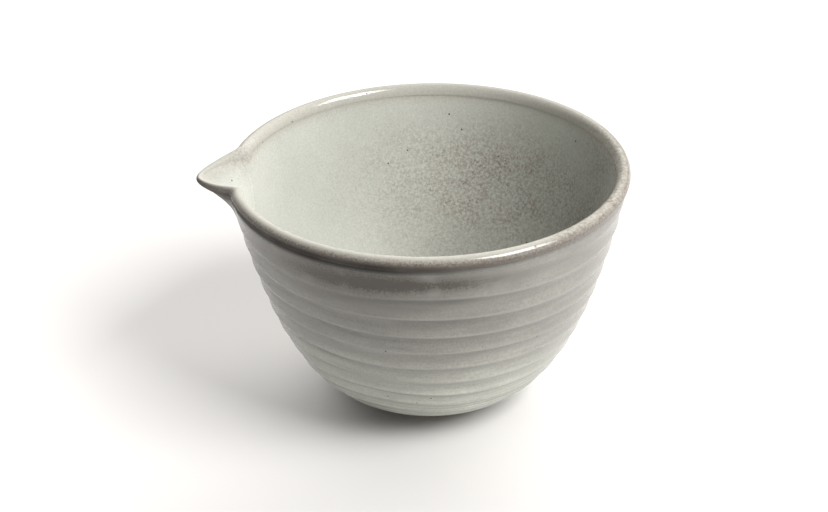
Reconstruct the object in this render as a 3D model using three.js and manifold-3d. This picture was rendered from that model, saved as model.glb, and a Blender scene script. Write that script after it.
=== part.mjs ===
// Stoneware mixing bowl with a pulled pouring spout, standing on a bare foot ring.
// Millimetres, +Z up. The origin is on the table, under the centre of the bowl's outline,
// and the spout points along -X, so the bowl's own axis stands a little towards +X.

import * as THREE from 'three';
import { mergeVertices } from 'three/addons/utils/BufferGeometryUtils.js';
import Module from 'manifold-3d';

const wasm = await Module();
wasm.setup();

// Driving dimensions
const RIM_RADIUS = 110;
const HEIGHT = 137.5;
const WALL = 6.2;
const FLOOR = 7.5;
const BEAD_RADIUS = 3.85;
const BEAD_OVERHANG = 1.4;
const FOOT_RADIUS = 41.8;
const FOOT_WIDTH = 8;
const FOOT_HEIGHT = 4.8;
const FOOT_EDGE = 1.4;
const GAP = 0.3;

// Throwing ridges on the outside
const RIDGES = 8;
const FIRST_RIDGE_DEPTH = 26.8;
const RIDGE_PITCH = 11.5;
const RIDGE_HEIGHT = 0.35;

// Spout: how far its tip stands out from the rim, how far it dips, and how much wall it takes up
const SPOUT_REACH = 16.8;
const SPOUT_DIP = 6.6;
const SPOUT_HALF_ANGLE = THREE.MathUtils.degToRad(13.7);
const SPOUT_DEPTH = 35;
const SPOUT_TIP_ROUNDING = 0.22;
const SPOUT_JOIN_ANGLE = THREE.MathUtils.degToRad(14.3);
const SPOUT_JOIN_DEPTH = 37;

// Smoothness of the revolved form. The steps are drawn together towards the spout.
const STEPS_AROUND = 88;
const STEP_CROWDING = 0.65;
const STEPS_UNDER_RIDGES = 5;
const WALL_STEPS_INSIDE = 11;

const glaze = () => new THREE.MeshStandardMaterial({ color: 0xb3b6ac, roughness: 0.25, metalness: 0 });
const bareClay = () => new THREE.MeshStandardMaterial({ color: 0x9c8b78, roughness: 0.8, metalness: 0 });

// The outside of the wall, from just under the bead down to the flat base, as radius and height.
const wallCurve = new THREE.CubicBezierCurve(
  new THREE.Vector2(RIM_RADIUS - BEAD_OVERHANG, HEIGHT - 2 * BEAD_RADIUS),
  new THREE.Vector2(96.5, 74.6),
  new THREE.Vector2(80.2, 13.9),
  new THREE.Vector2(44, FOOT_HEIGHT),
);

// Where along the wall curve a height is reached, found by halving.
function wallParameterAt(height) {
  let low = 0;
  let high = 1;
  for (let i = 0; i < 30; i++) {
    const middle = (low + high) / 2;
    if (wallCurve.getPoint(middle).y > height) {
      low = middle;
    } else {
      high = middle;
    }
  }
  return (low + high) / 2;
}

// A point beside the wall curve: positive distances stand out from the bowl, negative lie in the clay.
function besideWall(parameter, distance) {
  const point = wallCurve.getPoint(parameter);
  const along = wallCurve.getTangent(parameter);
  return new THREE.Vector2(point.x - along.y * distance, point.y + along.x * distance);
}

// From the base up to the bead: crests at the ridge depths, and hollows midway between them.
function outsidePoints() {
  const points = [];
  const lowest = FIRST_RIDGE_DEPTH + (RIDGES - 1) * RIDGE_PITCH;
  const lowestParameter = wallParameterAt(HEIGHT - lowest);
  for (let i = 0; i < STEPS_UNDER_RIDGES; i++) {
    points.push(besideWall(1 - ((1 - lowestParameter) * i) / STEPS_UNDER_RIDGES, 0));
  }
  for (let half = 0; half <= 2 * RIDGES - 1; half++) {
    const depth = lowest - (half * RIDGE_PITCH) / 2;
    const side = half % 2 === 0 ? RIDGE_HEIGHT : -RIDGE_HEIGHT;
    points.push(besideWall(wallParameterAt(HEIGHT - depth), side));
  }
  points.push(besideWall(0, 0));
  return points;
}

// The rolled rim, from its underside outside, over the top, to where it runs into the inner wall.
function beadPoints() {
  const centre = new THREE.Vector2(RIM_RADIUS - BEAD_RADIUS, HEIGHT - BEAD_RADIUS);
  const points = [];
  for (const degrees of [-50, -25, 0, 30, 60, 90, 120, 150, 180]) {
    const angle = THREE.MathUtils.degToRad(degrees);
    const spoke = new THREE.Vector2(Math.cos(angle), Math.sin(angle));
    points.push(centre.clone().addScaledVector(spoke, BEAD_RADIUS));
  }
  return points;
}

// The inside follows the outside at the wall's thickness, then runs out into the dished floor.
function insidePoints() {
  const points = [];
  const lastParameter = 0.9;
  for (let i = 1; i <= WALL_STEPS_INSIDE; i++) {
    points.push(besideWall((lastParameter * i) / WALL_STEPS_INSIDE, -WALL));
  }
  const edge = points[points.length - 1];
  const floorHeight = FOOT_HEIGHT + FLOOR;
  for (const share of [0.75, 0.5, 0.25]) {
    points.push(new THREE.Vector2(edge.x * share, floorHeight + (edge.y - floorHeight) * share ** 2.5));
  }
  points.push(new THREE.Vector2(0, floorHeight));
  return points;
}

// How far the clay at a point is pulled out into the spout: 0 beside the spout, 1 in its middle.
function spoutShare(azimuth, depth) {
  if (depth >= SPOUT_DEPTH) {
    return 0;
  }
  const halfAngle = SPOUT_HALF_ANGLE * Math.sqrt(1 - (depth / SPOUT_DEPTH) ** 2);
  const across = Math.abs(azimuth) / halfAngle;
  if (across >= 1) {
    return 0;
  }
  const blunt = SPOUT_TIP_ROUNDING;
  return (Math.hypot(1, blunt) - Math.hypot(across, blunt)) / (Math.hypot(1, blunt) - blunt);
}

// Pulls a rim point out and down into the spout. Deeper in the wall the pull fades away.
function pullSpout(radius, height, azimuth) {
  const depth = HEIGHT - height;
  const share = spoutShare(azimuth, depth);
  const beadDepth = 2 * BEAD_RADIUS;
  const below = Math.max(0, depth - beadDepth) / (SPOUT_DEPTH - beadDepth);
  const fade = (1 - Math.min(1, below)) ** 2.5;
  const lipShare = 1 - 0.7 * Math.min(1, depth / beadDepth);
  return {
    radius: radius + SPOUT_REACH * share * fade,
    height: height - SPOUT_DIP * share * lipShare * fade,
  };
}

// Revolves the bowl's section about +Z. Azimuth 0 is the spout's side, -X.
function thrownForm() {
  const profile = [new THREE.Vector2(0, FOOT_HEIGHT), ...outsidePoints(), ...beadPoints(), ...insidePoints()];
  const geometry = new THREE.LatheGeometry(profile, STEPS_AROUND);
  const position = geometry.getAttribute('position');
  for (let step = 0; step <= STEPS_AROUND; step++) {
    const turn = (2 * Math.PI * (step % STEPS_AROUND)) / STEPS_AROUND;
    const around = turn - STEP_CROWDING * Math.sin(turn);
    const azimuth = around > Math.PI ? around - 2 * Math.PI : around;
    profile.forEach((point, i) => {
      const pulled = pullSpout(point.x, point.y, azimuth);
      const x = -pulled.radius * Math.cos(azimuth);
      const y = -pulled.radius * Math.sin(azimuth);
      position.setXYZ(step * profile.length + i, x, y, pulled.height);
    });
  }
  return geometry;
}

// A wedge about the spout, from a height up past the rim. An inset keeps it off its own side planes.
function spoutWedge(inset) {
  const length = 2 * RIM_RADIUS;
  const apex = -inset / Math.sin(SPOUT_JOIN_ANGLE);
  const shape = new THREE.Shape();
  shape.moveTo(apex, 0);
  shape.lineTo(apex - length, length * Math.tan(SPOUT_JOIN_ANGLE));
  shape.lineTo(apex - length, -length * Math.tan(SPOUT_JOIN_ANGLE));
  shape.closePath();
  const geometry = new THREE.ExtrudeGeometry(shape, { depth: HEIGHT, bevelEnabled: false });
  geometry.translate(0, 0, HEIGHT - SPOUT_JOIN_DEPTH + inset);
  return geometry;
}

function toSolid(geometry) {
  const bare = geometry.clone();
  bare.deleteAttribute('normal');
  bare.deleteAttribute('uv');
  const merged = mergeVertices(bare, 1e-4);
  const used = [];
  const index = merged.getIndex().array;
  for (let i = 0; i < index.length; i += 3) {
    const [a, b, c] = [index[i], index[i + 1], index[i + 2]];
    if (a !== b && b !== c && c !== a) {
      used.push(a, b, c);
    }
  }
  const vertProperties = new Float32Array(merged.getAttribute('position').array);
  return new wasm.Manifold(new wasm.Mesh({ numProp: 3, vertProperties, triVerts: new Uint32Array(used) }));
}

function toMesh(solid, name, material) {
  const { vertProperties, triVerts } = solid.getMesh();
  const geometry = new THREE.BufferGeometry();
  geometry.setAttribute('position', new THREE.BufferAttribute(vertProperties, 3));
  geometry.setIndex(new THREE.BufferAttribute(triVerts, 1));
  geometry.computeVertexNormals();
  const mesh = new THREE.Mesh(geometry, material);
  mesh.name = name;
  return mesh;
}

// The foot: a ring with eased edges, whose flat lower face is what the bowl stands on.
function footRing() {
  const inner = FOOT_RADIUS - FOOT_WIDTH;
  const top = FOOT_HEIGHT - GAP;
  const section = [
    [inner + FOOT_EDGE, 0],
    [FOOT_RADIUS - FOOT_EDGE, 0],
    [FOOT_RADIUS, FOOT_EDGE],
    [FOOT_RADIUS, top],
    [inner, top],
    [inner, FOOT_EDGE],
    [inner + FOOT_EDGE, 0],
  ].map(([radius, height]) => new THREE.Vector2(radius, height));
  const geometry = new THREE.LatheGeometry(section, 72);
  geometry.rotateX(Math.PI / 2);
  return toMesh(toSolid(geometry), 'foot_ring', bareClay());
}

const thrown = toSolid(thrownForm());
const bowlBody = thrown.subtract(toSolid(spoutWedge(0)));
const pourSpout = thrown.intersect(toSolid(spoutWedge(GAP)));

const bowl = new THREE.Group();
bowl.add(toMesh(bowlBody, 'bowl_body', glaze()));
bowl.add(toMesh(pourSpout, 'pour_spout', glaze()));
bowl.add(footRing());
bowl.position.x = SPOUT_REACH / 2;

export default bowl;
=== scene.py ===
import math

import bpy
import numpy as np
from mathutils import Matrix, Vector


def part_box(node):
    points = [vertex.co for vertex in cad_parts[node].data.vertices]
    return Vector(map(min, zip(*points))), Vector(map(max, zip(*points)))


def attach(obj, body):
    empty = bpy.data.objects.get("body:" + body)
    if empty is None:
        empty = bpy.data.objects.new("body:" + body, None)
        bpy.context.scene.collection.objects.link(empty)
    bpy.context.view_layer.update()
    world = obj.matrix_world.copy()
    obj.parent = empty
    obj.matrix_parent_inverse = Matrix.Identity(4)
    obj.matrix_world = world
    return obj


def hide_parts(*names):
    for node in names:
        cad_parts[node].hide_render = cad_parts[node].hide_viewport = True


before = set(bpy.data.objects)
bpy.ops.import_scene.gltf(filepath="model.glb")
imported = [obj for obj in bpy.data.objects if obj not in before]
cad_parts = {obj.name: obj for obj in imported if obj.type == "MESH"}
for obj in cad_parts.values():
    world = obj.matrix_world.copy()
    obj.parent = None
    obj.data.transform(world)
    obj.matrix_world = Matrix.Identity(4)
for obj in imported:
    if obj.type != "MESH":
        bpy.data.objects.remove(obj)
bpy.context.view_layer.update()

# A stoneware mixing bowl with a pulled pouring spout. The glazed body and spout are two pieces of one thrown
# form, cut where the CAD parts meet, and the foot is a bare clay ring. Metres, +Z up, spout towards -X.
# On the bowl, azimuth is 0 at the spout, 90 degrees at the front (-Y) and -90 degrees at the back. Depth is
# measured down from the rim.

# ---------------------------------------------------------------------------------------------
# Sizes, from the frame
# ---------------------------------------------------------------------------------------------
MM = 0.001
BODY_LOW, BODY_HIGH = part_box("bowl_body")
SPOUT_LOW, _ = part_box("pour_spout")
FOOT_LOW, FOOT_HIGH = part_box("foot_ring")

AXIS_X = (FOOT_LOW.x + FOOT_HIGH.x) / 2
RIM_RADIUS = BODY_HIGH.y
HEIGHT = BODY_HIGH.z
BASE_HEIGHT = BODY_LOW.z
FOOT_RADIUS = FOOT_HIGH.x - AXIS_X
REACH = AXIS_X - SPOUT_LOW.x - RIM_RADIUS

WALL = 6.2 * MM
FLOOR = 7.5 * MM
FLOOR_CORNER = 11 * MM
FOOT_WIDTH = 8 * MM

# The rolled rim. Its inner half is taller than round, by the inner ease, and runs into the wall. The wall
# is undercut a little where the bead's outer foot meets it.
BEAD_RADIUS = 0.035 * RIM_RADIUS
BEAD_OVERHANG = 1.4 * MM
BEAD_START_DEGREES = -62
INNER_EASE = 1.5
UNDERCUT = 0.9 * MM
UNDERCUT_REACH = 1.5 * MM

# Spout
JOIN_ANGLE = math.radians(14.3)
JOIN_DEPTH = 37 * MM
SPOUT_HALF_ANGLE = math.radians(13.7)
SPOUT_DEPTH = 35 * MM
LIP_DIP = 5.0 * MM
LIP_RADIUS = 1.6 * MM
TIP_ROUNDING = 0.22
PINCH = 1.2 * MM
PINCH_WIDTH = math.radians(2.6)
PINCH_AT_BACK = 0.15

# Throwing ridges: a spiral whose turns draw closer together down the wall, and fine lines near the foot.
# Ridged and lined are the depths where they start, are full, begin to fade and end.
FIRST_CREST = 0.108 * RIM_RADIUS
FIRST_PITCH = 0.126 * RIM_RADIUS
PITCH_RATIO = 0.957
RIDGE_HEIGHT = 0.8 * MM
RIDGE_MIDDLE = 0.45
CREST_SOFTNESS = 0.05
LOWEST_BETWEEN = 0.3
RIDGED = (9 * MM, 24 * MM, 118 * MM, 129 * MM)
FINE_PITCH = 3.1 * MM
FINE_HEIGHT = 0.18 * MM
LINED = (98 * MM, 112 * MM, 126 * MM, 131 * MM)

# Stretches where the glaze tone, the painted shade and the roughness change: the azimuth of the middle, and
# how far it reaches each way
SHADED_FRONT = (math.radians(68), math.radians(37))
PALE_FRONT = (math.radians(117), math.radians(24))
BROWN_PATCH = (math.radians(80), math.radians(27))
STRONG_BREAK = (math.radians(76), math.radians(50))
BACK_LIP = (math.radians(-10), math.radians(9))
SPOUT_ROOT = (-SPOUT_HALF_ANGLE, math.radians(6))

# Light: how far away the panels are, where the glow behind the bowl is, from +X towards +Y, and how strong
# it and the room are
LIGHT_DISTANCE = 4.0
GLOW_AZIMUTH = math.radians(78)
GLOW = 7.8
ROOM = 0.09

# Mesh density
STEPS_AROUND = 284
STEP_CROWDING = 0.6
CURVE_STEPS = 1500
WALL_STEPS = 210
BEAD_STEPS = 30
INSIDE_STEPS = 76
FLOOR_STEPS = 20
FOOT_STEPS = 192


# ---------------------------------------------------------------------------------------------
# Curves and falloffs
# ---------------------------------------------------------------------------------------------
def smooth(start, end, x):
    """0 at start, 1 at end, eased. The end may be the smaller of the two."""
    t = np.clip((x - start) / (end - start), 0, 1)
    return t * t * (3 - 2 * t)


def between(x, start, full, fading, end):
    """1 from full to fading, and 0 before start and after end."""
    return smooth(start, full, x) * (1 - smooth(fading, end, x))


def hill(x, middle, reach):
    """1 in the middle, falling off evenly on both sides."""
    return np.exp(-(((x - middle) / reach) ** 2))


def outward(points):
    """Unit normals of a curve that runs down the outside of the bowl."""
    along = np.gradient(points, axis=0)
    normal = np.stack([-along[:, 1], along[:, 0]], axis=1)
    return normal / np.linalg.norm(normal, axis=1)[:, None]


def even(points, count):
    """The same curve with its points at even distances."""
    travelled = np.concatenate([[0], np.cumsum(np.linalg.norm(np.diff(points, axis=0), axis=1))])
    at = np.linspace(0, travelled[-1], count)
    return np.stack([np.interp(at, travelled, points[:, i]) for i in (0, 1)], axis=1)


def rounded(points, corner, reach, passes):
    """The same curve with its corner eased over about the reach each way."""
    away = np.linalg.norm(points - points[corner], axis=1)
    ease = 0.8 * hill(away, 0, reach)[1:-1, None]
    for _ in range(passes):
        points[1:-1] += ease * ((points[:-2] + points[2:]) / 2 - points[1:-1])
    return points


def wander(rng, azimuth, depth, waves, scale):
    """Smooth, slow unevenness around and down the wall, mostly between -1 and 1."""
    total = np.zeros(np.broadcast(azimuth, depth).shape)
    for _ in range(waves):
        around = rng.integers(1, 6)
        down = rng.uniform(-1, 1) * 2 * math.pi / scale
        total = total + np.sin(around * azimuth + down * depth + rng.uniform(0, 2 * math.pi))
    return total / math.sqrt(waves)


# ---------------------------------------------------------------------------------------------
# The thrown form
# ---------------------------------------------------------------------------------------------
def wall_curve(t):
    """Radius and height along the outside wall: t is 0 under the rim's bead and 1 at the base."""
    controls = [
        (RIM_RADIUS - BEAD_OVERHANG, HEIGHT - 2 * BEAD_RADIUS),
        (0.877 * RIM_RADIUS, HEIGHT - 0.572 * RIM_RADIUS),
        (0.729 * RIM_RADIUS, HEIGHT - 1.124 * RIM_RADIUS),
        (0.4 * RIM_RADIUS, BASE_HEIGHT),
    ]
    weights = [(1 - t) ** 3, 3 * t * (1 - t) ** 2, 3 * t**2 * (1 - t), t**3]
    return sum(w[:, None] * np.array(p) for w, p in zip(weights, controls))


def section():
    """The bowl's section as radius and height, from under the base, up the outside, over the rim, to the
    floor. Also says for each point which side it is on and, on the bead, its angle."""
    dense = wall_curve(np.linspace(0, 1, CURVE_STEPS))
    wall = even(dense, WALL_STEPS)
    undercut = UNDERCUT * hill(HEIGHT - wall[:, 1], 2 * BEAD_RADIUS, UNDERCUT_REACH)
    wall = wall - outward(wall) * undercut[:, None]

    angles = np.radians(np.linspace(BEAD_START_DEGREES, 180, BEAD_STEPS))
    rise = BEAD_RADIUS * np.where(angles > math.pi / 2, INNER_EASE, 1)
    bead_radii = RIM_RADIUS + BEAD_RADIUS * (np.cos(angles) - 1)
    bead = np.stack([bead_radii, HEIGHT + rise * (np.sin(angles) - 1)], axis=1)

    inner = dense[: int(0.9 * len(dense))]
    inner = even(inner - outward(dense)[: len(inner)] * WALL, INSIDE_STEPS)
    floor_height = BASE_HEIGHT + FLOOR
    share = np.linspace(1, 0, FLOOR_STEPS + 1)[1:-1]
    dish = (inner[-1, 1] - floor_height) * share**2.5
    floor_points = np.stack([inner[-1, 0] * share, floor_height + dish], axis=1)
    inside = rounded(np.concatenate([inner, floor_points]), len(inner) - 1, FLOOR_CORNER, 60)

    under = np.array([(part * wall[-1, 0], BASE_HEIGHT) for part in (0.1, 0.4, 0.7, 0.85, 0.95)])
    points = np.concatenate([under, wall[::-1], bead, inside])
    kinds = ["under"] * len(under) + ["wall"] * len(wall) + ["bead"] * len(bead)
    kinds += ["inside"] * len(inside)
    bead_angle = np.full(len(points), np.nan)
    first = len(under) + len(wall)
    bead_angle[first : first + len(bead)] = angles
    return points, np.array(kinds), bead_angle


def scallop(turns):
    """Height of a shallow groove between two crests, 1 on the crests and lowest near the upper one."""
    place = turns % 1.0
    lowest = LOWEST_BETWEEN
    near = np.where(place < lowest, (lowest - place) / lowest, (place - lowest) / (1 - lowest))
    off_crest = np.hypot(1 - near, CREST_SOFTNESS) - CREST_SOFTNESS
    return (1 - off_crest) ** 2


def relief(depth, azimuth):
    """How far the outside wall stands out, and what its glaze needs: how near each point is to a crest, how
    much paler (or, below 0, darker) it is painted there, mostly as painted light and shade across the ridges,
    and how strong its brown patches and painted shade under the rim are."""
    rng = np.random.default_rng(7)
    shift = 1.1 * MM * wander(rng, azimuth, depth, 5, 60 * MM)
    strength = 1 + 0.22 * wander(rng, azimuth, depth, 6, 35 * MM)
    lean = 0.15 * MM * wander(rng, azimuth, depth, 4, 120 * MM) * smooth(8 * MM, 30 * MM, depth)
    patchy = 1 + 0.4 * wander(rng, azimuth, depth, 6, 18 * MM)

    down = np.clip((depth + shift - FIRST_CREST) * (1 - PITCH_RATIO) / FIRST_PITCH, -0.5, 0.9)
    turns = np.log(1 - down) / math.log(PITCH_RATIO) - azimuth / (2 * math.pi) + 0.25
    crest = scallop(turns)
    ridged = between(depth, *RIDGED)
    fine = np.sin(2 * math.pi * (depth + shift) / FINE_PITCH + azimuth)
    lined = between(depth, *LINED)
    height = RIDGE_HEIGHT * strength * (crest - RIDGE_MIDDLE) * ridged * (1 - 0.45 * lined)
    height = height + FINE_HEIGHT * fine * lined + lean * ridged

    # Painted light and shade across each ridge: the tone is darkest just below the crest and palest just
    # above the next one, most of all at the front.
    facing = hill(azimuth, *SHADED_FRONT)
    shade = np.interp(turns % 1.0, [0, 0.10, 0.45, 0.96, 1], [0, -1, 0.1, 1, 0])
    shade = shade * (0.08 + 0.12 * facing) * patchy * ridged * (1 - 0.3 * lined)
    # Paler at the front right, and darker low on the right.
    low_right = smooth(math.radians(108), math.radians(145), azimuth) * smooth(35 * MM, 80 * MM, depth)
    shade = shade + 0.07 * fine * lined + 0.12 * hill(azimuth, *PALE_FRONT) - 0.16 * low_right

    patch = hill(turns, 0.40, 0.24) * hill(azimuth, *BROWN_PATCH)
    # A brown band under the rim at the front, darkened further as painted shade
    brown_band_and_shade = 0.85 * hill(depth, 15 * MM, 16 * MM) * facing
    return height, crest * ridged, shade, patch + brown_band_and_shade


def pull_share(azimuth, depth):
    """How far the clay is pulled into the spout: 0 beside it, 1 in its middle. The lip is a pointed beak,
    slimmer at the back, and lower down the pull becomes a rounded trough."""
    reach = np.sqrt(np.clip(1 - (depth / SPOUT_DEPTH) ** 2, 1e-6, 1))
    across = np.clip(np.abs(azimuth) / (SPOUT_HALF_ANGLE * reach), 0, 1)
    full = math.hypot(1, TIP_ROUNDING)
    beak = (full - np.hypot(across, TIP_ROUNDING)) / (full - TIP_ROUNDING)
    beak = np.where(azimuth < 0, 1.12 * beak**2 / (beak + 0.12), beak)
    trough = (1 - across**2) ** 1.3
    return beak + (trough - beak) * smooth(4 * MM, 24 * MM, depth)


def pull_spout(radius, height, azimuth, kinds, bead_angle):
    """Pulls the rim out into the spout. The bead thins to the lip, the pull fades down both faces of the
    wall, and the wall is pinched in a little beside the spout."""
    depth = np.maximum(HEIGHT - height, 0)
    share = pull_share(azimuth, np.where(kinds == "bead", 0, depth))
    share = np.where((depth < SPOUT_DEPTH) & (kinds != "under"), share, 0)

    lip = BEAD_RADIUS + (LIP_RADIUS - BEAD_RADIUS) * share
    angle = np.nan_to_num(bead_angle)
    angle = np.where(angle < 0, angle * (1 + 0.4 * share), angle)
    bead_r = RIM_RADIUS + REACH * share - lip + lip * np.cos(angle)
    rise = lip * np.where(angle > math.pi / 2, INNER_EASE, 1)
    bead_z = HEIGHT - LIP_DIP * share + rise * (np.sin(angle) - 1)

    slim = BEAD_RADIUS - LIP_RADIUS
    down_out = np.clip((depth - 2 * BEAD_RADIUS) / (SPOUT_DEPTH - 2 * BEAD_RADIUS), 0, 1)
    out_r = radius + 0.9 * REACH * share * (1 - down_out) ** 3.2
    out_z = height - (LIP_DIP - 1.4 * slim) * share * (1 - down_out) ** 1.5
    down_in = np.clip((depth - BEAD_RADIUS) / (SPOUT_DEPTH - BEAD_RADIUS), 0, 1)
    in_r = radius + (REACH + 2 * slim) * share * (1 - down_in) ** 2.5
    in_z = height - (LIP_DIP - slim) * share * (1 - down_in) ** 3

    sides = [kinds == "bead", kinds == "wall", kinds == "inside"]
    pulled_r = np.where(share > 0, np.select(sides, [bead_r, out_r, in_r], radius), radius)
    pulled_z = np.where(share > 0, np.select(sides, [bead_z, out_z, in_z], height), height)
    beside = hill(np.abs(azimuth), SPOUT_HALF_ANGLE, PINCH_WIDTH)
    beside = beside * np.where(azimuth < 0, PINCH_AT_BACK, 1)
    pinch = PINCH * beside * (1 - smooth(0, 0.7 * SPOUT_DEPTH, depth)) * (kinds != "under")
    return pulled_r - pinch, pulled_z


def soften(grid, amount, passes):
    """Rounds a grid of points that closes on itself around, by the share in amount."""
    for _ in range(passes):
        around = (np.roll(grid, 1, axis=0) + np.roll(grid, -1, axis=0)) / 2
        along = grid.copy()
        along[:, 1:-1] = (grid[:, :-2] + grid[:, 2:]) / 2
        grid = grid + amount[..., None] * ((around + along) / 2 - grid)
    return grid


def rim_brown(azimuth, bead_angle):
    """How brown the glaze breaks over the bead, from its outer foot towards the top. The brown is strongest
    and fades most gently at the front, and it reaches further over at the back."""
    break_from = math.radians(87) - math.radians(13) * np.sin(azimuth)
    break_over = math.radians(60) + math.radians(22) * np.sin(azimuth)
    brown = np.clip(np.nan_to_num((break_from - bead_angle) / break_over), 0, 1) ** 0.8
    strength = 0.58 + 0.42 * hill(azimuth, *STRONG_BREAK)
    return brown * np.maximum(strength, pull_share(azimuth, np.zeros(1)))


def rim_crease_shade(azimuth, bead_angle, depth, kinds):
    """How much painted shade falls in the crease under the bead. It is nearly black at the front left only.
    """
    on_wall = hill(depth, 2 * BEAD_RADIUS, 1.8 * MM) * (kinds == "wall")
    on_bead = np.nan_to_num(smooth(math.radians(36), math.radians(-16), bead_angle))
    lee = smooth(math.radians(112), math.radians(70), azimuth)
    lee = lee * smooth(math.radians(2), math.radians(20), azimuth)
    return np.maximum(on_wall, on_bead) * (0.22 + 0.78 * lee)


def thrown_form():
    """Vertex positions as [step around, point of the section], the azimuth of each step, the depth and kind
    of each point, and what the glaze needs at each vertex."""
    points, kinds, bead_angle = section()
    turn = 2 * math.pi * np.arange(STEPS_AROUND) / STEPS_AROUND
    azimuth = turn - STEP_CROWDING * np.sin(turn)
    azimuth = np.where(azimuth > math.pi, azimuth - 2 * math.pi, azimuth)[:, None]

    wall = kinds == "wall"
    depth = HEIGHT - points[:, 1]
    wall_depth = np.where(wall, depth, 0)[None, :]
    height, crest, shade, patches_and_shade = relief(wall_depth, azimuth)
    near_spout = 1 - 0.85 * smooth(0.1, 0.9, pull_share(azimuth, np.minimum(wall_depth, SPOUT_DEPTH)))
    height = np.where(wall, height, 0) * np.where(wall_depth < SPOUT_DEPTH, near_spout, 1)
    normal = outward(points[::-1])[::-1]
    radius = points[:, 0] + normal[:, 0] * height
    up = points[:, 1] + normal[:, 1] * height

    pulled_r, pulled_z = pull_spout(radius, up, azimuth, kinds[None, :], bead_angle[None, :])
    x = AXIS_X - pulled_r * np.cos(azimuth)
    y = -pulled_r * np.sin(azimuth)
    grid = np.stack([x, y, pulled_z], axis=2)
    zone = 1 - smooth(JOIN_ANGLE, JOIN_ANGLE + math.radians(5), np.abs(azimuth))
    zone = zone * (1 - smooth(24 * MM, SPOUT_DEPTH, depth))[None, :] * (kinds != "under")
    grid = soften(grid, 0.6 * zone, 6)

    brown = rim_brown(azimuth, bead_angle)
    pulled = pull_share(azimuth, np.minimum(depth, SPOUT_DEPTH)[None, :])
    pulled = pulled * (1 - smooth(0.7 * SPOUT_DEPTH, 0.95 * SPOUT_DEPTH, depth))
    back_lip = hill(azimuth, *BACK_LIP) * (1 - smooth(6 * MM, 14 * MM, depth))
    root = hill(azimuth, *SPOUT_ROOT) * (1 - smooth(6 * MM, 17 * MM, depth))
    facts = {
        "crest": np.where(wall, crest, 0),
        "shade": np.where(wall, shade, 0),
        "patches_and_shade": np.where(wall, patches_and_shade, 0),
        "outside": np.broadcast_to(np.isin(kinds, ("wall", "under")).astype(float), crest.shape),
        "bead": np.broadcast_to(brown, crest.shape),
        "crease": rim_crease_shade(azimuth, bead_angle, depth, kinds),
        "depth": np.broadcast_to(depth, crest.shape),
        "beak": pulled * smooth(0.15, 0.6, np.where(wall, 1, brown)) * (kinds != "inside"),
        "pull": pulled,
        "matte": np.maximum(pulled, back_lip),
        "root": root * (kinds != "wall"),
    }
    return grid, azimuth[:, 0], depth, kinds, facts


# ---------------------------------------------------------------------------------------------
# Meshes
# ---------------------------------------------------------------------------------------------
def make_mesh(name, vertices, faces, facts, normals, flat_from):
    """A mesh object whose faces before flat_from are smooth by the given normals. The rest are flat."""
    mesh = bpy.data.meshes.new(name)
    mesh.from_pydata([tuple(v) for v in vertices], [], faces)
    for key, values in facts.items():
        attribute = mesh.attributes.new(key, "FLOAT", "POINT")
        attribute.data.foreach_set("value", values.astype(np.float32))
    mesh.update()
    corner = [
        tuple(normals[v]) if polygon.index < flat_from else tuple(polygon.normal)
        for polygon in mesh.polygons
        for v in polygon.vertices
    ]
    mesh.normals_split_custom_set(corner)
    piece = bpy.data.objects.new(name, mesh)
    bpy.context.scene.collection.objects.link(piece)
    return piece


def grid_normals(grid):
    """Vertex normals of the whole form, so that two pieces shade as one surface across their joint."""
    around = np.roll(grid, -1, axis=0) - np.roll(grid, 1, axis=0)
    along = np.gradient(grid, axis=1)
    normal = np.cross(along, around)
    return -normal / np.linalg.norm(normal, axis=2)[..., None]


def bowl_pieces():
    """The body and the spout, cut out of the thrown form and each closed with plain faces in the clay."""
    grid, azimuth, depth, kinds, facts = thrown_form()
    steps, count = grid.shape[:2]
    half = len(np.flatnonzero(np.abs(azimuth) <= JOIN_ANGLE)) // 2
    spout_columns = [i % steps for i in range(-half, half + 1)]
    rows = np.flatnonzero((depth < JOIN_DEPTH) & (kinds != "under"))
    low, high = rows[0], rows[-1]

    # After the grid come two more vertices: the middle of the base and the middle of the floor.
    bottom, middle = steps * count, steps * count + 1
    middles = [[AXIS_X, 0, BASE_HEIGHT], [AXIS_X, 0, BASE_HEIGHT + FLOOR]]
    vertices = np.concatenate([grid.reshape(-1, 3), middles])
    normals = np.concatenate([grid_normals(grid).reshape(-1, 3), [[0, 0, -1], [0, 0, 1]]])
    vertex_facts = {
        key: np.append(values.reshape(-1), [values[0, 0], values[0, -1]]) for key, values in facts.items()
    }

    def at(i, k):
        return (i % steps) * count + k

    def quads(i, k_from, k_to):
        return [(at(i, k), at(i + 1, k), at(i + 1, k + 1), at(i, k + 1)) for k in range(k_from, k_to)]

    spout_steps = set(spout_columns[:-1])
    body_faces, spout_faces = [], []
    for i in range(steps):
        body_faces.append((bottom, at(i + 1, 0), at(i, 0)))
        body_faces.append((middle, at(i, count - 1), at(i + 1, count - 1)))
        if i in spout_steps:
            body_faces += quads(i, 0, low) + quads(i, high, count - 1)
            spout_faces += quads(i, low, high)
        else:
            body_faces += quads(i, 0, count - 1)
    start, end = spout_columns[0], spout_columns[-1]
    cut = [[at(start, k) for k in range(low, high + 1)]]
    cut.append([at(end, k) for k in range(high, low - 1, -1)])
    cut += [[at(i, low), at(i, high), at(i + 1, high), at(i + 1, low)] for i in spout_columns[:-1]]

    def piece(name, faces, closing):
        used = sorted({v for face in faces + closing for v in face})
        number = {v: n for n, v in enumerate(used)}
        renumbered = [[number[v] for v in face] for face in faces + closing]
        some = {key: values[used] for key, values in vertex_facts.items()}
        return make_mesh(name, vertices[used], renumbered, some, normals[used], len(faces))

    body_piece = piece("glazed_body", body_faces, [list(reversed(face)) for face in cut])
    spout_piece = piece("glazed_spout", spout_faces, cut)
    return body_piece, spout_piece


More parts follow.
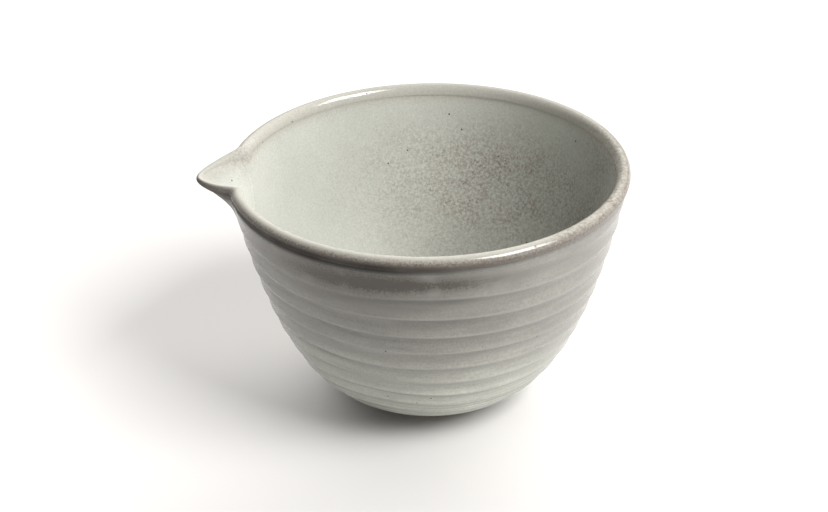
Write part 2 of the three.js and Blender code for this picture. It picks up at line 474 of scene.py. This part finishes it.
def foot_piece():
    """The bare foot: a ring with eased lower edges and small coves where it runs into the base."""
    inner = FOOT_RADIUS - FOOT_WIDTH
    ease = 1.6 * MM
    cove = 1.1 * MM
    top = BASE_HEIGHT - 0.02 * MM
    quarter = np.radians(np.linspace(0, 90, 8))

    def arc(centre_r, centre_z, radius, start, turned=1):
        angles = math.radians(start) + turned * quarter
        return [(centre_r + radius * math.cos(a), centre_z + radius * math.sin(a)) for a in angles]

    ring = arc(inner + ease, ease, ease, 180) + arc(FOOT_RADIUS - ease, ease, ease, 270)
    ring += arc(FOOT_RADIUS + cove, top - cove, cove, 180, -1) + arc(inner - cove, top - cove, cove, 90, -1)
    rng = np.random.default_rng(3)
    azimuth = 2 * math.pi * np.arange(FOOT_STEPS) / FOOT_STEPS
    uneven = 0.12 * MM * wander(rng, azimuth, 0, 5, 1)
    vertices = []
    for a, off in zip(azimuth, uneven):
        for radius, z in ring:
            free = min(z, top - z) / top
            r = radius + off * free
            vertices.append((AXIS_X + r * math.cos(a), r * math.sin(a), z))
    count = len(ring)
    faces = []
    for i in range(FOOT_STEPS):
        here, there = i * count, ((i + 1) % FOOT_STEPS) * count
        for k in range(count):
            beyond = (k + 1) % count
            faces.append((here + k, there + k, there + beyond, here + beyond))
    mesh = bpy.data.meshes.new("clay_foot")
    mesh.from_pydata(vertices, [], faces)
    mesh.shade_smooth()
    mesh.set_sharp_from_angle(angle=math.radians(35))
    piece = bpy.data.objects.new("clay_foot", mesh)
    bpy.context.scene.collection.objects.link(piece)
    return piece


# ---------------------------------------------------------------------------------------------
# Materials
# ---------------------------------------------------------------------------------------------
INSIDE_PALE = (0.425, 0.432, 0.395, 1)
INSIDE_DEEP = (0.385, 0.391, 0.356, 1)
INSIDE_RIM = (0.375, 0.366, 0.33, 1)
OUTSIDE_PALE = (0.196, 0.193, 0.177, 1)
OUTSIDE_DEEP = (0.176, 0.172, 0.157, 1)
OUTSIDE_LOW = (0.385, 0.393, 0.353, 1)
CREST_HIGHLIGHT = (0.34, 0.338, 0.305, 1)
STAIN_AND_SHADE_BROWN = (0.125, 0.095, 0.074, 1)
PATCH_AND_SHADE_BROWN = (0.06, 0.052, 0.043, 1)
BREAK_BROWN = (0.088, 0.068, 0.055, 1)
ROOT_BROWN = (0.19, 0.14, 0.115, 1)
BEAK_BROWN_AND_SHADE = (0.085, 0.075, 0.064, 1)
CREASE_SHADE_BLACK = (0.014, 0.012, 0.010, 1)
IRON_BLACK = (0.035, 0.028, 0.022, 1)
CLAY_PALE = (0.42, 0.34, 0.26, 1)
CLAY_DEEP = (0.33, 0.26, 0.19, 1)
CLAY_GRAIN = (0.22, 0.16, 0.115, 1)
CLAY_SPECK = (0.06, 0.045, 0.035, 1)


class Nodes:
    """Short calls for building a material's node tree."""

    def __init__(self, name):
        self.material = bpy.data.materials.new(name)
        self.material.use_nodes = True
        self.tree = self.material.node_tree
        self.shader = self.tree.nodes["Principled BSDF"]
        self.place = self.add("ShaderNodeTexCoord").outputs["Object"]

    def add(self, kind, inputs=None, **settings):
        node = self.tree.nodes.new(kind)
        for key, value in settings.items():
            setattr(node, key, value)
        for key, value in (inputs or {}).items():
            self.set(node.inputs[key], value)
        return node

    def set(self, socket, value):
        if isinstance(value, bpy.types.NodeSocket):
            self.tree.links.new(value, socket)
        else:
            socket.default_value = value

    def fact(self, name):
        """A value that the mesh carries at its vertices."""
        return self.add("ShaderNodeAttribute", attribute_name=name).outputs["Fac"]

    def noise(self, per_metre, detail=3.0, roughness=0.55, stretch=None):
        place = self.place
        if stretch:
            place = self.add("ShaderNodeMapping", {"Vector": place, "Scale": stretch}).outputs[0]
        settings = {"Vector": place, "Scale": per_metre, "Detail": detail, "Roughness": roughness}
        return self.add("ShaderNodeTexNoise", settings).outputs["Fac"]

    def ramp(self, value, start, end):
        """0 at start, 1 at end, eased."""
        sockets = {"Value": value, "From Min": start, "From Max": end}
        return self.add("ShaderNodeMapRange", sockets, interpolation_type="SMOOTHSTEP").outputs[0]

    def spread(self, value, low, high):
        """Carries a noise's usual range, 0.25 to 0.75, to a range of its own."""
        sockets = {"Value": value, "From Min": 0.25, "From Max": 0.75, "To Min": low, "To Max": high}
        return self.add("ShaderNodeMapRange", sockets).outputs[0]

    def math(self, operation, a, b):
        node = self.add("ShaderNodeMath", operation=operation)
        self.set(node.inputs[0], a)
        self.set(node.inputs[1], b)
        return node.outputs[0]

    def times(self, a, b):
        return self.math("MULTIPLY", a, b)

    def plus(self, a, b):
        return self.math("ADD", a, b)

    def minus(self, a, b):
        return self.math("SUBTRACT", a, b)

    def scaled(self, colour, factor):
        sockets = {"Vector": colour, "Scale": factor}
        return self.add("ShaderNodeVectorMath", sockets, operation="SCALE").outputs[0]

    def mix(self, share, a, b):
        node = self.add("ShaderNodeMix", data_type="RGBA")
        self.set(node.inputs["Factor"], share)
        self.set(node.inputs["A"], a)
        self.set(node.inputs["B"], b)
        return node.outputs["Result"]

    def specks(self, per_metre, chance, size):
        """Round spots. The chance is the share of cells that hold one, and the size is a share of a cell."""
        cell = self.add("ShaderNodeTexVoronoi", {"Vector": self.place, "Scale": per_metre})
        spot = self.ramp(cell.outputs["Distance"], size, 0.6 * size)
        red = self.add("ShaderNodeSeparateColor", {"Color": cell.outputs["Color"]}).outputs[0]
        return self.times(spot, self.math("LESS_THAN", red, chance))

    def bump(self, height, distance, strength, under=None):
        sockets = {"Height": height, "Distance": distance, "Strength": strength}
        node = self.add("ShaderNodeBump", sockets)
        if under is not None:
            self.set(node.inputs["Normal"], under)
        return node.outputs[0]


def ground_tone(n, grain, flecks, outside, depth):
    """The ground glaze: pale and clouded inside, darker outside, and pale again low down the wall. The
    outside also has painted light and shade across its ridges, and streaks that run around it."""
    cloud = n.ramp(n.noise(14, 4), 0.35, 0.7)
    inside_tone = n.mix(cloud, INSIDE_PALE, INSIDE_DEEP)
    inside_tone = n.mix(n.ramp(depth, 12 * MM, 6 * MM), inside_tone, INSIDE_RIM)
    outside_tone = n.mix(cloud, OUTSIDE_PALE, OUTSIDE_DEEP)
    outside_tone = n.mix(n.ramp(depth, 45 * MM, 115 * MM), outside_tone, OUTSIDE_LOW)
    tone = n.mix(outside, inside_tone, outside_tone)

    # Painted light and shade across the ridges, broken up by grain and noise
    smudge = n.times(n.spread(grain, 0.5, 1.5), n.spread(n.noise(30, 3, 0.6), 0.1, 2.2))
    tone = n.scaled(tone, n.plus(1.0, n.times(n.fact("shade"), smudge)))
    tone = n.scaled(tone, n.spread(flecks, 0.86, 1.14))
    streaks = n.noise(1, 3, 0.6, stretch=(22, 22, 240))
    return n.scaled(tone, n.plus(1.0, n.times(n.spread(streaks, -0.12, 0.12), outside)))


def stain_and_shade_tone(n, tone, outside, depth, x, shaded_right_inside):
    """Brown mottling that grows down into the bowl and is faint outside. Its growth towards the right,
    strongest on the inside of the right wall, is painted shade.
    """
    rightwards = n.times(n.ramp(x, -85 * MM, 65 * MM), n.spread(n.noise(14, 3), 0.65, 1.1))
    deep = n.minus(n.ramp(depth, 6 * MM, 45 * MM), n.times(n.ramp(depth, 60 * MM, 100 * MM), 0.55))
    stain_and_shade = n.times(rightwards, n.math("MAXIMUM", deep, shaded_right_inside))
    stain_and_shade = n.times(stain_and_shade, n.minus(1.0, n.times(outside, 0.8)))
    mottle = n.times(n.spread(n.noise(600, 3, 0.75), -0.5, 1.5), n.spread(n.noise(70, 4, 0.6), 0.5, 1.25))
    return n.mix(n.times(n.times(mottle, stain_and_shade), 0.8), tone, STAIN_AND_SHADE_BROWN)


def ridge_tone(n, tone, flecks):
    """Painted highlights along the crests, and brown patches with painted shade under the rim at the front.
    """
    # Painted highlight along each crest
    tone = n.mix(n.times(n.ramp(n.fact("crest"), 0.74, 0.98), 0.30), tone, CREST_HIGHLIGHT)
    patches = n.times(n.ramp(n.noise(34, 3), 0.15, 0.45), n.spread(flecks, 0.45, 1.35))
    # Brown patches, and painted shade under the rim at the front
    return n.mix(n.times(n.times(n.fact("patches_and_shade"), patches), 0.95), tone, PATCH_AND_SHADE_BROWN)


def rim_tone(n, tone, flecks):
    """Glaze that breaks to brown over the bead, and speckled brown at the back root of the spout."""
    bead = n.fact("bead")
    uneven = n.plus(bead, n.times(n.minus(flecks, 0.5), 1.1))
    broken = n.times(n.ramp(uneven, 0.05, 1.0), n.ramp(bead, 0.0, 0.15))
    tone = n.mix(n.times(broken, 0.95), tone, BREAK_BROWN)
    root = n.times(n.fact("root"), n.ramp(n.noise(650, 2, 0.7), 0.45, 0.65))
    return n.mix(n.times(root, 0.45), tone, ROOT_BROWN)


def glaze_material():
    """A speckled, satin stoneware glaze, with painted light and shade on the ridges, under the rim and inside
    on the right. Its places on the bowl come from the mesh and from object space.
    """
    n = Nodes("speckled_glaze")
    outside = n.fact("outside")
    depth = n.fact("depth")
    grain = n.noise(420, 3, 0.6)
    flecks = n.noise(1000, 2, 0.7)
    apart = n.add("ShaderNodeSeparateXYZ", {"Vector": n.place})
    x, y = apart.outputs["X"], apart.outputs["Y"]
    # The inside of the right wall, which lies in shade; painted shade is laid on it below
    shaded_right_inside = n.times(n.ramp(x, 50 * MM, 95 * MM), n.ramp(y, 70 * MM, 20 * MM))

    tone = ground_tone(n, grain, flecks, outside, depth)
    tone = stain_and_shade_tone(n, tone, outside, depth, x, shaded_right_inside)
    tone = ridge_tone(n, tone, flecks)
    tone = rim_tone(n, tone, flecks)
    # Painted shade on the inside of the right wall
    right_inside_shade = n.times(n.times(shaded_right_inside, n.minus(1.0, outside)), n.ramp(depth, 4 * MM, 12 * MM))
    tone = n.scaled(tone, n.minus(1.0, n.times(right_inside_shade, 0.3)))
    tone = n.scaled(tone, n.minus(1.0, n.times(n.fact("pull"), 0.1)))
    # Brown where the glaze breaks over the spout's lip, and painted shade on the spout's underside outside
    beak = n.times(n.fact("beak"), n.spread(grain, 0.6, 1.3))
    tone = n.mix(n.times(beak, 0.55), tone, BEAK_BROWN_AND_SHADE)
    # Painted shade in the crease under the bead
    crease = n.times(n.fact("crease"), n.spread(n.noise(45, 3), 0.75, 1.05))
    tone = n.mix(n.times(crease, 0.97), tone, CREASE_SHADE_BLACK)
    iron = n.math("MAXIMUM", n.specks(260, 0.035, 0.16), n.specks(140, 0.03, 0.10))
    tone = n.mix(n.times(iron, 0.9), tone, IRON_BLACK)
    n.set(n.shader.inputs["Base Color"], tone)

    # Glossiest on the rim, and dull in the crease and about the spout
    rough = n.minus(n.spread(grain, 0.19, 0.27), n.times(n.ramp(depth, 12 * MM, 8 * MM), 0.1))
    rough = n.plus(rough, n.plus(n.times(crease, 0.85), n.times(n.fact("matte"), 0.55)))
    n.set(n.shader.inputs["Roughness"], rough)
    n.shader.inputs["IOR"].default_value = 1.5
    soft = n.bump(n.noise(60, 3), 0.5 * MM, 0.2)
    fine = n.bump(grain, 0.06 * MM, 0.25, soft)
    pits = n.bump(n.minus(1.0, iron), 0.2 * MM, 0.6, fine)
    n.set(n.shader.inputs["Normal"], pits)
    return n.material


def clay_material():
    """Bare, grainy stoneware."""
    n = Nodes("bare_stoneware")
    grain = n.noise(700, 4, 0.7)
    tone = n.mix(n.ramp(n.noise(40, 3), 0.35, 0.65), CLAY_DEEP, CLAY_PALE)
    tone = n.mix(n.times(n.ramp(grain, 0.52, 0.68), 0.6), tone, CLAY_GRAIN)
    tone = n.mix(n.specks(500, 0.12, 0.22), tone, CLAY_SPECK)
    n.set(n.shader.inputs["Base Color"], tone)
    n.shader.inputs["Roughness"].default_value = 0.85
    n.set(n.shader.inputs["Normal"], n.bump(grain, 0.3 * MM, 0.7))
    return n.material


# ---------------------------------------------------------------------------------------------
# Stage
# ---------------------------------------------------------------------------------------------
def floor():
    bpy.ops.mesh.primitive_plane_add(size=9, location=(0, 0, 0))
    plane = bpy.context.active_object
    plane.name = "floor"
    material = bpy.data.materials.new("floor_paper")
    material.use_nodes = True
    shader = material.node_tree.nodes["Principled BSDF"]
    shader.inputs["Base Color"].default_value = (0.575, 0.568, 0.562, 1)
    shader.inputs["Roughness"].default_value = 1.0
    shader.inputs["Specular IOR Level"].default_value = 0.0
    plane.data.materials.append(material)


def area_light(name, azimuth, elevation, width, height, watts, colour):
    """A soft panel that faces the bowl. Azimuth is from +X towards +Y."""
    a, e = math.radians(azimuth), math.radians(elevation)
    direction = Vector((math.cos(e) * math.cos(a), math.cos(e) * math.sin(a), math.sin(e)))
    light = bpy.data.lights.new(name, "AREA")
    light.shape = "RECTANGLE"
    light.size = width
    light.size_y = height
    light.energy = watts
    light.color = colour
    lamp = bpy.data.objects.new(name, light)
    lamp.location = Vector((AXIS_X, 0, HEIGHT / 2)) + direction * LIGHT_DISTANCE
    lamp.rotation_euler = direction.to_track_quat("Z", "Y").to_euler()
    lamp.visible_camera = False
    bpy.context.scene.collection.objects.link(lamp)
    return lamp


def studio_world():
    """A dim room with a broad glow behind the bowl, eased off towards the horizon and overhead. The camera
    itself sees a plain, slightly warm white."""
    world = bpy.data.worlds.new("studio")
    bpy.context.scene.world = world
    world.use_nodes = True
    world.cycles_visibility.glossy = False
    tree = world.node_tree

    def ramp(value, start, end, top=1):
        """0 at start, the top value at end, eased."""
        node = tree.nodes.new("ShaderNodeMapRange")
        node.interpolation_type = "SMOOTHSTEP"
        node.inputs["From Min"].default_value = start
        node.inputs["From Max"].default_value = end
        node.inputs["To Max"].default_value = top
        tree.links.new(value, node.inputs["Value"])
        return node.outputs[0]

    def times(a, b):
        node = tree.nodes.new("ShaderNodeMath")
        node.operation = "MULTIPLY"
        tree.links.new(a, node.inputs[0])
        tree.links.new(b, node.inputs[1])
        return node.outputs[0]

    direction = tree.nodes.new("ShaderNodeTexCoord").outputs["Generated"]
    towards = tree.nodes.new("ShaderNodeVectorMath")
    towards.operation = "DOT_PRODUCT"
    towards.inputs[1].default_value = (math.cos(GLOW_AZIMUTH), math.sin(GLOW_AZIMUTH), 0)
    tree.links.new(direction, towards.inputs[0])
    apart = tree.nodes.new("ShaderNodeSeparateXYZ")
    tree.links.new(direction, apart.inputs[0])
    behind = ramp(towards.outputs["Value"], 0.25, 0.8)
    not_too_low = ramp(apart.outputs["Z"], 0.0, 0.3)
    glow = times(times(behind, not_too_low), ramp(apart.outputs["Z"], 0.9, 0.5, GLOW))
    room = tree.nodes.new("ShaderNodeMath")
    room.inputs[1].default_value = ROOM
    tree.links.new(glow, room.inputs[0])
    seen = tree.nodes.new("ShaderNodeMix")
    tree.links.new(tree.nodes.new("ShaderNodeLightPath").outputs["Is Camera Ray"], seen.inputs["Factor"])
    tree.links.new(room.outputs[0], seen.inputs["A"])
    seen.inputs["B"].default_value = 1.0
    background = tree.nodes["Background"]
    background.inputs["Color"].default_value = (1, 0.985, 0.965, 1)
    tree.links.new(seen.outputs["Result"], background.inputs["Strength"])


def lighting():
    """A soft key from the front right, a weak low fill from the front, a weaker one from high at the front
    left, and the room. The fills are left out of reflections."""
    area_light("key", -33, 46, 2.1, 2.1, 250, (1.0, 0.99, 0.97))
    fill = area_light("fill", -62, 14, 2.5, 1.4, 25, (1.0, 0.98, 0.96))
    fill.visible_glossy = False
    top = area_light("top", -124, 56, 2.2, 2.2, 16, (1.0, 1.0, 1.0))
    top.visible_glossy = False
    studio_world()
    bpy.context.scene.view_settings.view_transform = "Standard"


def camera():
    """Ten rim radii away and about 29 degrees up, level but for a degree of roll."""
    distance = 10 * RIM_RADIUS
    elevation = math.radians(29.17)
    yaw, pitch, roll = math.radians(-0.52), math.radians(28.89), math.radians(-1.25)
    aim = Vector((AXIS_X, 0, HEIGHT - 0.58 * RIM_RADIUS))
    data = bpy.data.cameras.new("camera")
    data.sensor_width = 36
    data.lens = 85.4
    eye = bpy.data.objects.new("camera", data)
    bpy.context.scene.collection.objects.link(eye)
    forward = Vector((math.sin(yaw) * math.cos(pitch), math.cos(yaw) * math.cos(pitch), -math.sin(pitch)))
    right = Vector((math.cos(yaw), -math.sin(yaw), 0))
    up = right.cross(forward)
    rolled_right = math.cos(roll) * right + math.sin(roll) * up
    rolled_up = math.cos(roll) * up - math.sin(roll) * right
    turn = Matrix((rolled_right, rolled_up, -forward)).transposed()
    place = aim + distance * Vector((0, -math.cos(elevation), math.sin(elevation)))
    eye.matrix_world = Matrix.Translation(place) @ turn.to_4x4()
    bpy.context.scene.camera = eye


# ---------------------------------------------------------------------------------------------
# Put together
# ---------------------------------------------------------------------------------------------
camera()
floor()
lighting()

glaze = glaze_material()
body, spout = bowl_pieces()
foot = foot_piece()
for piece, node, slot, material in (
    (body, "bowl_body", "speckled_glaze", glaze),
    (spout, "pour_spout", "speckled_glaze", glaze),
    (foot, "foot_ring", "bare_stoneware", clay_material()),
):
    piece.data.materials.append(material)
    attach(piece, "root")
    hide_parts(node)
